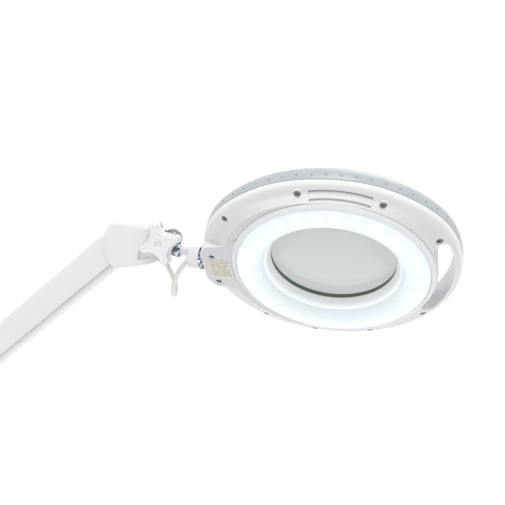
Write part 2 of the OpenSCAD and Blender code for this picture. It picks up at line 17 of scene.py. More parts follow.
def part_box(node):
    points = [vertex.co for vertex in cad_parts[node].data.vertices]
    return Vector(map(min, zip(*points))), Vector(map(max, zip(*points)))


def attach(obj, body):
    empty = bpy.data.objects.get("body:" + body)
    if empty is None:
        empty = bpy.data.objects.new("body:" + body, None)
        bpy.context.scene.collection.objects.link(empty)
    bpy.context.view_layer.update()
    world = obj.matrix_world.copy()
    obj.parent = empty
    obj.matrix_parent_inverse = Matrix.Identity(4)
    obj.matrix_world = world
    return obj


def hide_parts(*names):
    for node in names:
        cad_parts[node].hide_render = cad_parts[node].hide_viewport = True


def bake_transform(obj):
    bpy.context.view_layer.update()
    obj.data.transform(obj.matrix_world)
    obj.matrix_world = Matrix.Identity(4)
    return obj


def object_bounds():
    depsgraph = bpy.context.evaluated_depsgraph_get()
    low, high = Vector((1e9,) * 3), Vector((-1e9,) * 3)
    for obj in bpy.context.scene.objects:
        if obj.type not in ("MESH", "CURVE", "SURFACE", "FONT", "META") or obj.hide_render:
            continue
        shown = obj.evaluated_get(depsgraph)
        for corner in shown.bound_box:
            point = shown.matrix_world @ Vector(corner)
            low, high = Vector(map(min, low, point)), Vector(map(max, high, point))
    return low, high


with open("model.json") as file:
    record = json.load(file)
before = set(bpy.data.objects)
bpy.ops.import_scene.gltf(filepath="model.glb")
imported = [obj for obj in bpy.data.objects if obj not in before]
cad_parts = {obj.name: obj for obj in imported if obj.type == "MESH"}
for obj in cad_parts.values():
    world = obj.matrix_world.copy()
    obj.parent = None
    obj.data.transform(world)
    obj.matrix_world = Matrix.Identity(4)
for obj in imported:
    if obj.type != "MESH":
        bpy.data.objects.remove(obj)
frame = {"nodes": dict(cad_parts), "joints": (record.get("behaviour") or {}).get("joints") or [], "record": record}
CAD_BOX = [list(corner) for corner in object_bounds()]
MM = 0.001
NODES = frame["nodes"]
JOINTS = {joint["name"]: joint for joint in frame["joints"]}
BODIES = frame["record"]["behaviour"]["bodies"]
BODY_OF = {node: body for body, nodes in BODIES.items() for node in nodes}


# ---------- places, read from the frame ----------

def low(node):
    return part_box(node)[0] / MM


def high(node):
    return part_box(node)[1] / MM


def middle(node):
    return (low(node) + high(node)) / 2


def pivot(joint):
    return Vector(JOINTS[joint]["pos_m"]) / MM


NECK = Vector((middle("ring_bezel").x, 0, middle("neck_washer").z))
HEAD_R = high("top_cover").x - NECK.x
# The visual head's oval ends this much short of the CAD head towards the neck
NECK_TRIM = 2.4
STRETCH = NECK.x - low("top_cover").x - HEAD_R - NECK_TRIM
press = JOINTS["power_button_press"]["axis"]
HEAD_ROLL = math.atan2(-press[1], -press[2])
HEAD = Matrix.Translation(NECK * MM) @ Matrix.Rotation(-HEAD_ROLL, 4, "X")
TILT = pivot("head_tilt")
# Turns a shape drawn in x and y, with +z towards the viewer, to face along -Y
VIEWER = Matrix(((1, 0, 0), (0, 0, -1), (0, 1, 0))).to_4x4()


def on_arm(first, second):
    """The place of an arm part drawn along +X between two pivots."""
    start, run = pivot(first), pivot(second) - pivot(first)
    return Matrix.Translation(start * MM) @ Matrix.Rotation(-math.atan2(run.z, run.x), 4, "Y")


LOWER_ARM = on_arm("lower_lift", "elbow_level")
UPPER_ARM = on_arm("upper_lift", "end_level")


# ---------- camera, light and floor ----------

CAMERA_AT = Vector((0.3644, -0.5291, 0.7762))
CAMERA_AZIMUTH, CAMERA_ELEVATION = 13.74, 11.0
CAMERA_LENS = 42.77
LIGHTS_AIM_AT = Vector((0.15, 0, 0.6))
SKY_STRENGTH, FLOOR_GLOW = 1.02, 0.13


def towards(azimuth, elevation):
    """The direction from the object to a viewer at these angles."""
    a, e = math.radians(azimuth), math.radians(elevation)
    return Vector((math.sin(a) * math.cos(e), -math.cos(a) * math.cos(e), math.sin(e)))


def add_to_scene(name, data):
    obj = bpy.data.objects.new(name, data)
    bpy.context.scene.collection.objects.link(obj)
    return obj


def make_camera():
    camera = add_to_scene("camera", bpy.data.cameras.new("camera"))
    camera.data.lens = CAMERA_LENS
    camera.data.sensor_width = 36
    camera.data.clip_start, camera.data.clip_end = 0.01, 50
    camera.location = CAMERA_AT
    camera.rotation_mode = "QUATERNION"
    camera.rotation_quaternion = (-towards(CAMERA_AZIMUTH, CAMERA_ELEVATION)).to_track_quat("-Z", "Y")
    bpy.context.scene.camera = camera


def make_light(name, azimuth, elevation, distance, size, power):
    lamp = bpy.data.lights.new(name, "AREA")
    lamp.shape, lamp.size, lamp.energy = "DISK", size, power
    obj = add_to_scene(name, lamp)
    obj.location = LIGHTS_AIM_AT + distance * towards(azimuth, elevation)
    obj.rotation_mode = "QUATERNION"
    obj.rotation_quaternion = (-towards(azimuth, elevation)).to_track_quat("-Z", "Y")


def make_stage():
    world = bpy.data.worlds.new("studio")
    world.use_nodes = True
    world.node_tree.nodes["Background"].inputs["Color"].default_value = (0.985, 0.99, 1.0, 1)
    world.node_tree.nodes["Background"].inputs["Strength"].default_value = SKY_STRENGTH
    bpy.context.scene.world = world
    bpy.context.scene.view_settings.view_transform = "Standard"
    make_light("key", azimuth=20, elevation=68, distance=2.2, size=1.0, power=16)
    make_light("rim", azimuth=160, elevation=45, distance=2.4, size=1.2, power=8)
    floor_mesh = bpy.data.meshes.new("floor")
    size, level = 12, CAD_BOX[0][2] - 0.002
    floor_mesh.from_pydata([(x, y, level) for x, y in ((-size, -size), (size, -size), (size, size),
                                                       (-size, size))], [], [(0, 1, 2, 3)])
    floor = add_to_scene("floor", floor_mesh)
    floor_mesh.materials.append(LOOKS["floor"])


# ---------- materials ----------

LAMP_RING_R, LAMP_COUNT, LAMP_SPREAD = 76.2, 30, 10
DIMPLE_COUNT = 56
# Radii over which the lens funnel's painted glow fades in
PAINTED_GLOW_START_R, PAINTED_GLOW_FULL_R = 57.5, 62
LOOKS = {}
SLOTS = {}


def look(name, slot, colour, roughness, metallic=0.0, variation=0.03, patch=45, grain=1100,
         depth=0.05, spread=0.05):
    """A moulded or painted surface: soft colour patches, uneven gloss and a fine grain."""
    mat = bpy.data.materials.new(name)
    mat.use_nodes = True
    nodes, links = mat.node_tree.nodes, mat.node_tree.links
    shader = nodes["Principled BSDF"]
    place = nodes.new("ShaderNodeTexCoord")
    patches = nodes.new("ShaderNodeTexNoise")
    patches.inputs["Scale"].default_value = patch
    patches.inputs["Detail"].default_value = 4
    tint = nodes.new("ShaderNodeMix")
    tint.data_type = "RGBA"
    tint.inputs[6].default_value = (*[c * (1 - variation) for c in colour], 1)
    tint.inputs[7].default_value = (*[min(1, c * (1 + variation)) for c in colour], 1)
    gloss = nodes.new("ShaderNodeMapRange")
    gloss.inputs["To Min"].default_value = max(0.02, roughness - spread)
    gloss.inputs["To Max"].default_value = min(1, roughness + spread)
    fine = nodes.new("ShaderNodeTexNoise")
    fine.inputs["Scale"].default_value = grain
    fine.inputs["Detail"].default_value = 2
    bump = nodes.new("ShaderNodeBump")
    bump.inputs["Strength"].default_value = depth
    bump.inputs["Distance"].default_value = 0.0003
    links.new(place.outputs["Object"], patches.inputs["Vector"])
    links.new(place.outputs["Object"], fine.inputs["Vector"])
    links.new(patches.outputs["Fac"], tint.inputs["Factor"])
    links.new(patches.outputs["Fac"], gloss.inputs["Value"])
    links.new(tint.outputs[2], shader.inputs["Base Color"])
    links.new(gloss.outputs["Result"], shader.inputs["Roughness"])
    links.new(fine.outputs["Fac"], bump.inputs["Height"])
    links.new(bump.outputs["Normal"], shader.inputs["Normal"])
    shader.inputs["Metallic"].default_value = metallic
    LOOKS[name], SLOTS[name] = mat, slot
    return mat


def math_node(nodes, links, operation, *values):
    node = nodes.new("ShaderNodeMath")
    node.operation = operation
    for i, value in enumerate(values):
        if isinstance(value, (int, float)):
            node.inputs[i].default_value = value
        else:
            links.new(value, node.inputs[i])
    return node.outputs[0]


def zinc_reflection_look(name, slot, painted_dark, painted_bright, roughness):
    """Blue-passivated plating with painted reflections: dark and bright streaks that run round the part stand in
    for the dark and light surroundings it would reflect, in the blue tint of passivated zinc.
    """
    mat = look(name, slot, painted_bright, roughness, metallic=1.0, spread=0.08, grain=700, depth=0.1)
    nodes, links = mat.node_tree.nodes, mat.node_tree.links
    # Painted reflection: the streaks set the base colour between the dark and the bright colour
    reflection_streaks = nodes.new("ShaderNodeTexNoise")
    reflection_streaks.inputs["Scale"].default_value = 210
    reflection_streaks.inputs["Detail"].default_value = 3
    reflection_streaks.inputs["Distortion"].default_value = 1.2
    ramp = nodes.new("ShaderNodeValToRGB")
    ramp.color_ramp.elements[0].position, ramp.color_ramp.elements[1].position = 0.42, 0.6
    ramp.color_ramp.elements[0].color = (*painted_dark, 1)
    ramp.color_ramp.elements[1].color = (*painted_bright, 1)
    links.new(nodes["Texture Coordinate"].outputs["Object"], reflection_streaks.inputs["Vector"])
    links.new(reflection_streaks.outputs["Fac"], ramp.inputs["Fac"])
    links.new(ramp.outputs["Color"], nodes["Principled BSDF"].inputs["Base Color"])


def diffuser_look(name, slot, radius, count):
    """Frosted cover lit from inside: one soft spot for each lamp on a bluish-white glow."""
    mat = look(name, slot, (0.56, 0.60, 0.62), 0.35)
    nodes, links = mat.node_tree.nodes, mat.node_tree.links
    split = nodes.new("ShaderNodeSeparateXYZ")
    links.new(nodes["Texture Coordinate"].outputs["Object"], split.inputs[0])
    x, y = split.outputs["X"], split.outputs["Y"]
    angle = math_node(nodes, links, "ARCTAN2", y, x)
    cell = math_node(nodes, links, "PINGPONG", angle, math.pi / count)
    along = math_node(nodes, links, "MULTIPLY", cell, radius * MM)
    squares = [math_node(nodes, links, "MULTIPLY", v, v) for v in (x, y)]
    reach = math_node(nodes, links, "SQRT", math_node(nodes, links, "ADD", *squares))
    across = math_node(nodes, links, "SUBTRACT", reach, radius * MM)
    both = [math_node(nodes, links, "MULTIPLY", v, v) for v in (along, across)]
    apart = math_node(nodes, links, "SQRT", math_node(nodes, links, "ADD", *both))
    ramp = nodes.new("ShaderNodeValToRGB")
    links.new(math_node(nodes, links, "MULTIPLY", apart, 1 / (LAMP_SPREAD * MM)), ramp.inputs["Fac"])
    ramp.color_ramp.interpolation = "EASE"
    ramp.color_ramp.elements[0].color = (1.0, 1.0, 1.0, 1)
    ramp.color_ramp.elements[1].color = (0.68, 0.76, 0.79, 1)
    middle_stop = ramp.color_ramp.elements.new(0.5)
    middle_stop.color = (0.84, 0.92, 0.95, 1)
    shader = nodes["Principled BSDF"]
    links.new(ramp.outputs["Color"], shader.inputs["Emission Color"])
    shader.inputs["Emission Strength"].default_value = 0.36


def dotted_look(name, slot, count):
    """Blue-grey plastic with two rows of small dimples round its rim, each dimple bumped in and darkened with
    painted shade.
    """
    mat = look(name, slot, (0.40, 0.44, 0.45), 0.28, variation=0.08, patch=60)
    nodes, links = mat.node_tree.nodes, mat.node_tree.links
    shader, tint = nodes["Principled BSDF"], nodes["Mix"]
    split = nodes.new("ShaderNodeSeparateXYZ")
    links.new(nodes["Texture Coordinate"].outputs["Object"], split.inputs[0])
    angle = math_node(nodes, links, "ARCTAN2", split.outputs["Y"], split.outputs["X"])
    masks = []
    for level, turn, size in ((6.4, 0.0, 0.95), (14.5, math.pi / count, 0.75)):
        turned = math_node(nodes, links, "ADD", angle, turn)
        cell = math_node(nodes, links, "PINGPONG", turned, math.pi / count)
        along = math_node(nodes, links, "MULTIPLY", cell, HEAD_R * MM)
        up = math_node(nodes, links, "SUBTRACT", split.outputs["Z"], level * MM)
        both = [math_node(nodes, links, "MULTIPLY", v, v) for v in (along, up)]
        apart = math_node(nodes, links, "SQRT", math_node(nodes, links, "ADD", *both))
        edge = nodes.new("ShaderNodeMapRange")
        edge.inputs["From Min"].default_value = size * 0.6 * MM
        edge.inputs["From Max"].default_value = size * 1.2 * MM
        edge.inputs["To Min"].default_value, edge.inputs["To Max"].default_value = 1, 0
        links.new(apart, edge.inputs["Value"])
        masks.append(edge.outputs["Result"])
    mask = math_node(nodes, links, "MAXIMUM", *masks)
    # Painted shade: the dimples' insides are darkened in the base colour
    painted_dark = nodes.new("ShaderNodeMix")
    painted_dark.data_type = "RGBA"
    painted_dark.inputs[7].default_value = (0.30, 0.34, 0.35, 1)
    links.new(mask, painted_dark.inputs["Factor"])
    links.new(tint.outputs[2], painted_dark.inputs[6])
    links.new(painted_dark.outputs[2], shader.inputs["Base Color"])
    dent = nodes.new("ShaderNodeBump")
    dent.invert = True
    dent.inputs["Strength"].default_value, dent.inputs["Distance"].default_value = 0.8, 0.0008
    links.new(mask, dent.inputs["Height"])
    links.new(nodes["Bump"].outputs["Normal"], dent.inputs["Normal"])
    links.new(dent.outputs["Normal"], shader.inputs["Normal"])


def shoulder_highlight_look(name, slot, colour, highlight_colour, roughness):
    """Shell plastic with painted light: the flat face that faces down keeps a darker base colour as painted shade,
    and it is a little paler, a painted highlight, where it rounds over from the flat face.
    """
    mat = look(name, slot, colour, roughness)
    nodes, links = mat.node_tree.nodes, mat.node_tree.links
    split = nodes.new("ShaderNodeSeparateXYZ")
    links.new(nodes["Texture Coordinate"].outputs["Normal"], split.inputs[0])
    # Painted light by the surface's direction: straight down keeps the shaded base colour, leaning out takes the
    # highlight colour
    lean = nodes.new("ShaderNodeMapRange")
    lean.inputs["From Min"].default_value, lean.inputs["From Max"].default_value = -0.97, -0.75
    links.new(split.outputs["Z"], lean.inputs["Value"])
    edge = nodes.new("ShaderNodeMix")
    edge.data_type = "RGBA"
    edge.inputs[7].default_value = (*highlight_colour, 1)
    links.new(lean.outputs["Result"], edge.inputs["Factor"])
    links.new(nodes["Mix"].outputs[2], edge.inputs[6])
    links.new(edge.outputs[2], nodes["Principled BSDF"].inputs["Base Color"])


def painted_glow_look(name, slot, colour):
    """White plastic with a painted glow that stands in for the ring's light falling on it, most at its outer edge.
    """
    mat = look(name, slot, colour, 0.35)
    nodes, links = mat.node_tree.nodes, mat.node_tree.links
    split = nodes.new("ShaderNodeSeparateXYZ")
    links.new(nodes["Texture Coordinate"].outputs["Object"], split.inputs[0])
    squares = [math_node(nodes, links, "MULTIPLY", v, v) for v in (split.outputs["X"], split.outputs["Y"])]
    reach = math_node(nodes, links, "SQRT", math_node(nodes, links, "ADD", *squares))
    ramp = nodes.new("ShaderNodeValToRGB")
    ramp.color_ramp.interpolation = "EASE"
    ramp.color_ramp.elements[0].color = (0, 0, 0, 1)
    ramp.color_ramp.elements[1].color = (0.62, 0.68, 0.72, 1)
    fade = nodes.new("ShaderNodeMapRange")
    fade.inputs["From Min"].default_value = PAINTED_GLOW_START_R * MM
    fade.inputs["From Max"].default_value = PAINTED_GLOW_FULL_R * MM
    links.new(reach, fade.inputs["Value"])
    links.new(fade.outputs["Result"], ramp.inputs["Fac"])
    shader = nodes["Principled BSDF"]
    links.new(ramp.outputs["Color"], shader.inputs["Emission Color"])
    shader.inputs["Emission Strength"].default_value = 0.5


def glass_look(name, slot, tint, painted_veil_share, painted_veil_colour):
    """Clear lens: tinted light straight through, a painted glow that stands in for the ring's light inside the
    head seen through it, and a sharp reflection.
    """
    mat = bpy.data.materials.new(name)
    mat.use_nodes = True
    nodes, links = mat.node_tree.nodes, mat.node_tree.links
    nodes.remove(nodes["Principled BSDF"])
    place = nodes.new("ShaderNodeTexCoord")
    ripple = nodes.new("ShaderNodeTexNoise")
    ripple.inputs["Scale"].default_value = 20
    bump = nodes.new("ShaderNodeBump")
    bump.inputs["Strength"].default_value = 0.02
    clear = nodes.new("ShaderNodeBsdfTransparent")
    clear.inputs["Color"].default_value = (*tint, 1)
    shine = nodes.new("ShaderNodeBsdfGlossy")
    shine.inputs["Roughness"].default_value = 0.03
    edge = nodes.new("ShaderNodeFresnel")
    edge.inputs["IOR"].default_value = 1.45
    both = nodes.new("ShaderNodeMixShader")
    links.new(place.outputs["Object"], ripple.inputs["Vector"])
    links.new(ripple.outputs["Fac"], bump.inputs["Height"])
    links.new(bump.outputs["Normal"], shine.inputs["Normal"])
    # Painted light: this glow is mixed over the see-through part in place of the lit inside of the head
    glow = nodes.new("ShaderNodeEmission")
    glow.inputs["Color"].default_value = (*painted_veil_colour, 1)
    lit = nodes.new("ShaderNodeMixShader")
    lit.inputs[0].default_value = painted_veil_share
    links.new(clear.outputs[0], lit.inputs[1])
    links.new(glow.outputs[0], lit.inputs[2])
    links.new(edge.outputs[0], both.inputs[0])
    links.new(lit.outputs[0], both.inputs[1])
    links.new(shine.outputs[0], both.inputs[2])
    links.new(both.outputs[0], nodes["Material Output"].inputs["Surface"])
    LOOKS[name], SLOTS[name] = mat, slot


def make_looks():
    # The shell's base colour is dimmed as painted shade and its second colour is the painted highlight on the
    # rounded shoulder
    shoulder_highlight_look("shell_white", "white_plastic", (0.56, 0.555, 0.575), (0.75, 0.75, 0.76), 0.32)
    look("gloss_white", "white_plastic", (0.69, 0.69, 0.705), 0.22)
    look("paint_white", "white_paint", (0.69, 0.69, 0.70), 0.38, grain=650, depth=0.12)
    look("knob_white", "white_plastic", (0.715, 0.715, 0.725), 0.28)
    # The top cover's dimples carry painted shade
    dotted_look("cover_grey", "cover_grey", DIMPLE_COUNT)
    look("rubber", "rubber", (0.035, 0.035, 0.038), 0.75, depth=0.3)
    look("dark_steel", "dark_steel", (0.22, 0.20, 0.235), 0.45, metallic=0.4)
    look("bare_steel", "zinc_steel", (0.55, 0.56, 0.58), 0.3, metallic=1.0, spread=0.1)
    look("cable", "cable_jacket", (0.70, 0.69, 0.655), 0.42, depth=0.1)
    look("label", "label", (0.66, 0.62, 0.52), 0.6, variation=0.08, patch=120)
    look("label_print", "label", (0.30, 0.28, 0.24), 0.6)
    look("board_white", "led_board", (0.80, 0.80, 0.80), 0.5)
    look("chip", "led", (0.85, 0.75, 0.35), 0.3)
    look("circuit", "driver_board", (0.03, 0.16, 0.07), 0.45)
    look("button", "button", (0.68, 0.68, 0.70), 0.3)
    look("floor", None, (0.86, 0.86, 0.86), 0.9)
    floor_shader = LOOKS["floor"].node_tree.nodes["Principled BSDF"]
    floor_shader.inputs["Emission Color"].default_value = (1, 1, 1, 1)
    floor_shader.inputs["Emission Strength"].default_value = FLOOR_GLOW
    # The zinc's dark and bright colours are painted reflections
    zinc_reflection_look("zinc", "zinc_steel", (0.05, 0.10, 0.14), (0.80, 0.86, 0.90), 0.2)
    diffuser_look("diffuser", "diffuser", LAMP_RING_R, LAMP_COUNT)
    # The last two values are the share and the colour of the lens's painted glow
    glass_look("lens_glass", "lens_glass", (0.84, 0.885, 0.875), 0.82, (0.69, 0.74, 0.73))
    # The lens funnel glows with painted light, though it is no lamp
    painted_glow_look("funnel_white", "white_plastic", (0.76, 0.77, 0.78))
    # A dark colour for painted shade round the lens's edge
    look("lens_rim_shade", "rubber", (0.08, 0.11, 0.11), 0.5)
    look("seat_line", "rubber", (0.26, 0.24, 0.14), 0.5)


make_looks()
make_camera()
make_stage()


# ---------- outlines and profiles ----------

def arc(centre, radius, start, end, steps):
    """Points on an arc, with its angles in degrees."""
    angles = [math.radians(start + (end - start) * i / steps) for i in range(steps + 1)]
    return [(centre[0] + radius * math.cos(a), centre[1] + radius * math.sin(a)) for a in angles]


def rounded(points, radius, steps=4):
    """A closed outline with its corners eased; radius is one number or one for each corner."""
    count = len(points)
    radii = radius if isinstance(radius, (list, tuple)) else [radius] * count
    out = []
    for i, corner in enumerate(points):
        here, before, after = Vector(corner), Vector(points[i - 1]), Vector(points[(i + 1) % count])
        if radii[i] <= 0:
            out.append(tuple(here))
            continue
        reach_in = min(radii[i], 0.48 * (before - here).length)
        reach_out = min(radii[i], 0.48 * (after - here).length)
        first = here + (before - here).normalized() * reach_in
        last = here + (after - here).normalized() * reach_out
        for k in range(steps + 1):
            t = k / steps
            out.append(tuple((1 - t) ** 2 * first + 2 * t * (1 - t) * here + t * t * last))
    return out


def smooth(points, steps=4):
    """An open line of points, drawn finer along a smooth curve through them."""
    line = [Vector(p) for p in points]
    out = []
    for i in range(len(line) - 1):
        a, b, c, d = line[max(i - 1, 0)], line[i], line[i + 1], line[min(i + 2, len(line) - 1)]
        for k in range(steps):
            t = k / steps
            out.append(0.5 * (2 * b + (c - a) * t + (2 * a - 5 * b + 4 * c - d) * t * t
                              + (3 * b - a - 3 * c + d) * t ** 3))
    return [tuple(p) for p in out + [line[-1]]]


def inset(outline, distance):
    """The outline moved inwards; it runs anticlockwise."""
    count = len(outline)
    out = []
    for i, point in enumerate(outline):
        run = Vector(outline[(i + 1) % count]) - Vector(outline[i - 1])
        inward = Vector((-run.y, run.x)).normalized()
        out.append(tuple(Vector(point) + inward * distance))
    return out


# ---------- solids: each returns (points, faces) ----------

def grid(rows, closed=True, caps=False):
    """Joins equal closed rows of points; closed joins the last row to the first."""
    wide, tall = len(rows[0]), len(rows)
    points = [p for row in rows for p in row]
    faces = []
    for i in range(tall if closed else tall - 1):
        for j in range(wide):
            k = (j + 1) % wide
            n = (i + 1) % tall
            faces.append((i * wide + j, i * wide + k, n * wide + k, n * wide + j))
    if caps:
        faces.append(tuple(range(wide)))
        faces.append(tuple((tall - 1) * wide + j for j in reversed(range(wide))))
    return points, faces


def revolve(profile, steps=96):
    """Turns a closed loop of (radius, height) round the z axis."""
    return grid([[(r * math.cos(a), r * math.sin(a), z) for r, z in profile]
                 for a in (math.tau * i / steps for i in range(steps))])


def prism(outline, low_z, high_z, ease=0.0):
    """An extruded outline with eased edges; the outline runs anticlockwise."""
    levels = [(low_z, ease), (low_z + 0.3 * ease, 0.3 * ease), (low_z + ease, 0)] if ease else [(low_z, 0)]
    levels += [(low_z + high_z - z, d) for z, d in reversed(levels)]
    rows = [[(x, y, z) for x, y in (inset(outline, d) if d else outline)] for z, d in levels]
    return grid(rows, closed=False, caps=True)


def box(corner, opposite, ease=0.0):
    outline = [(corner[0], corner[1]), (opposite[0], corner[1]), (opposite[0], opposite[1]),
               (corner[0], opposite[1])]
    return prism(rounded(outline, ease, 3) if ease else outline, corner[2], opposite[2], 0.6 * ease)


def rod(radius, low_z, high_z, ease=0.3, steps=64):
    return revolve(rounded([(0, low_z), (radius, low_z), (radius, high_z), (0, high_z)],
                           [0, ease, ease, 0], 3), steps)


def tube(path, radius, sides):
    """A round bar along a line of points, twisted as little as possible."""
    line = [Vector(p) for p in path]
    rows, side = [], None
    for i, at in enumerate(line):
        ahead = (line[min(i + 1, len(line) - 1)] - line[max(i - 1, 0)]).normalized()
        if side is None:
            side = ahead.orthogonal().normalized()
        side = (side - side.dot(ahead) * ahead).normalized()
        up = ahead.cross(side)
        rows.append([tuple(at + radius * (math.cos(a) * side + math.sin(a) * up))
                     for a in (math.tau * k / sides for k in range(sides))])
    return grid(rows, closed=False, caps=True)


def moved(part, matrix):
    return [tuple(matrix @ Vector(p)) for p in part[0]], part[1]


def merged(*parts):
    points, faces = [], []
    for part_points, part_faces in parts:
        start = len(points)
        points += part_points
        faces += [tuple(start + i for i in face) for face in part_faces]
    return points, faces


def shift(x, y, z):
    return Matrix.Translation((x, y, z))


def along_x(at):
    """Sends the z axis of a shape to +X through a point."""
    return Matrix.Translation(at) @ Matrix.Rotation(math.pi / 2, 4, "Y")


def facing_viewer(at):
    """Sends the z axis of a shape to -Y through a point."""
    return Matrix.Translation(at) @ VIEWER


# ---------- pieces ----------

def shape_object(name, part, place=None):
    mesh = bpy.data.meshes.new(name)
    mesh.from_pydata([tuple(c * MM for c in p) for p in part[0]], [], part[1])
    bm = bmesh.new()
    bm.from_mesh(mesh)
    bmesh.ops.remove_doubles(bm, verts=bm.verts, dist=1e-6)
    bmesh.ops.dissolve_degenerate(bm, edges=bm.edges, dist=1e-7)
    bmesh.ops.recalc_face_normals(bm, faces=bm.faces)
    bm.to_mesh(mesh)
    bm.free()
    obj = add_to_scene(name, mesh)
    if place is not None:
        obj.matrix_world = place
    return obj


def carve(obj, *parts, add=False):
    """Cuts closed shapes out of a piece, or adds them."""
    cutter = shape_object("cutter", merged(*parts), obj.matrix_world.copy())
    step = obj.modifiers.new("carve", "BOOLEAN")
    step.operation = "UNION" if add else "DIFFERENCE"
    step.object, step.solver, step.material_mode = cutter, "EXACT", "TRANSFER"
    step.use_self = True
    bake(obj)
    bpy.data.objects.remove(cutter)


def bake(obj):
    """Puts a piece's modifiers into its mesh."""
    bpy.context.view_layer.update()
    shown = obj.evaluated_get(bpy.context.evaluated_depsgraph_get())
    mesh = bpy.data.meshes.new_from_object(shown)
    obj.modifiers.clear()
    obj.data = mesh


def finish_piece(obj, look_name, body, stands_for=(), sharp=32, bevel=0.0):
    if not obj.data.materials:
        obj.data.materials.append(LOOKS[look_name])
    else:
        obj.data.materials[0] = LOOKS[look_name]
    obj.data.shade_smooth()
    obj.data.set_sharp_from_angle(angle=math.radians(sharp))
    if bevel:
        edge = obj.modifiers.new("edges", "BEVEL")
        edge.width, edge.segments, edge.limit_method = bevel * MM, 2, "ANGLE"
        edge.angle_limit, edge.harden_normals = math.radians(sharp), True
    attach(obj, body)
    if stands_for:
        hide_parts(*stands_for)
    return obj


def piece(name, part, look_name, node, place=None, sharp=32):
    """One shape that stands for a CAD node and rides on that node's body."""
    obj = shape_object(name, part, place)
    return finish_piece(obj, look_name, BODY_OF[node], (node,), sharp)


def extra(name, part, look_name, node, place=None):
    """Detail that goes with a CAD node's body without standing for a node."""
    return finish_piece(shape_object(name, part, place), look_name, BODY_OF[node])


def refined(node, look_name, edge, sharp=32):
    """A CAD node's own shape with clean faces and eased edges."""
    bm = bmesh.new()
    bm.from_mesh(NODES[node].data)
    bmesh.ops.remove_doubles(bm, verts=bm.verts, dist=2e-6)
    bmesh.ops.dissolve_limit(bm, angle_limit=math.radians(1), verts=bm.verts, edges=bm.edges)
    edges = [e for e in bm.edges if len(e.link_faces) == 2 and e.calc_face_angle(0) > math.radians(sharp)]
    bmesh.ops.bevel(bm, geom=edges, offset=edge * MM, offset_type="OFFSET", segments=2, profile=0.6,
                    affect="EDGES", clamp_overlap=True)
    bmesh.ops.recalc_face_normals(bm, faces=bm.faces)
    mesh = bpy.data.meshes.new(node + "_shape")
    bm.to_mesh(mesh)
    bm.free()
    obj = add_to_scene(node + "_piece", mesh)
    return finish_piece(obj, look_name, BODY_OF[node], (node,), sharp)


# ---------- head ----------

SEAM_Z, FACE_Z = 2.0, -11.0
BACK_Z = 22.2
RING_HOLE_R = 88.6
NECK_FACE = -119
OVAL_STEPS = 240
# The vents' side is drawn in by a share of y, which sets in over these radii and distances
RIM_DRAWN_IN, BACK_DRAWN_IN, SHOULDER_Z = 0.068, 0.064, 16
DRAW_START_R, DRAW_RUN = 88, 14
DRAW_START_Y, DRAW_FULL_Y = 35, 95
LID_X, LID_Z = -74, 27
BUTTON_X = -96
SCREW_SPOTS = [(88.5, -45), (44, -84.8), (-22, -94.5), (-87.5, -61.8), (-107.5, -16),
               (82, 61), (33, 96.5), (-22, 99.5), (-70.5, 79.5), (-108, 20.8)]


def soft_step(value, start, end):
    """Rises from 0 at start to 1 at end, level at both."""
    t = min(1, max(0, (value - start) / (end - start)))
    return t * t * (3 - 2 * t)


def flatter(radius, y, height):
    """How far the head's outline is drawn in on the vents' side, as a factor on y."""
    share = RIM_DRAWN_IN if height < SHOULDER_Z else BACK_DRAWN_IN
    outwards = min(1, max(0, (radius - DRAW_START_R) / DRAW_RUN))
    return 1 - share * outwards * soft_step(-y, DRAW_START_Y, DRAW_FULL_Y)


def oval(profile):
    """Sweeps a closed loop of (radius, height, round) round the head; round rows keep to a circle."""
    half = OVAL_STEPS // 2
    angles = [-math.pi / 2 + math.pi * i / half for i in range(half + 1)]
    columns = [(0, a) for a in angles] + [(-STRETCH, a + math.pi) for a in angles]
    rows = []
    for middle_x, angle in columns:
        row = []
        for radius, height, *on_circle in profile:
            x, y = middle_x + radius * math.cos(angle), radius * math.sin(angle)
            if on_circle and on_circle[0]:
                turn = math.atan2(y, x)
                x, y = radius * math.cos(turn), radius * math.sin(turn)
            row.append((x, y * flatter(radius, y, height), height))
        rows.append(row)
    return grid(rows)


BOTTOM_SKIN = smooth([(HEAD_R - 1.3, SEAM_Z), (HEAD_R - 0.5, 0.8), (HEAD_R - 0.7, -0.8), (HEAD_R - 2.2, -2.4),
                      (HEAD_R - 5.2, -4.1), (HEAD_R - 9.5, -6.1), (HEAD_R - 15, -8.3), (HEAD_R - 18.5, -9.8),
                      (HEAD_R - 20.4, -10.7)], 3)
TOP_SKIN = smooth([(HEAD_R - 1.6, SEAM_Z), (HEAD_R - 0.7, 3.0), (HEAD_R - 0.2, 6.0), (HEAD_R - 0.1, 9.5),
                   (HEAD_R - 1.0, 13.2), (HEAD_R - 3.4, 16.4), (HEAD_R - 7.5, 19), (HEAD_R - 14, 20.8),
                   (HEAD_R - 22, 21.8), (HEAD_R - 30, BACK_Z)], 3)


def skin_level(skin, x, y):
    """The height of a skin at a point in the head's plan."""
    flat_y = y / flatter(math.hypot(x, y), y, -6 if skin is BOTTOM_SKIN else 20)
    reach = math.hypot(x if x > 0 else min(0, x + STRETCH), flat_y)
    steps = sorted(skin)
    for (r0, z0), (r1, z1) in zip(steps, steps[1:]):
        if r0 <= reach <= r1:
            return z0 + (z1 - z0) * (reach - r0) / max(1e-6, r1 - r0)
    return steps[0][1] if reach < steps[0][0] else steps[-1][1]


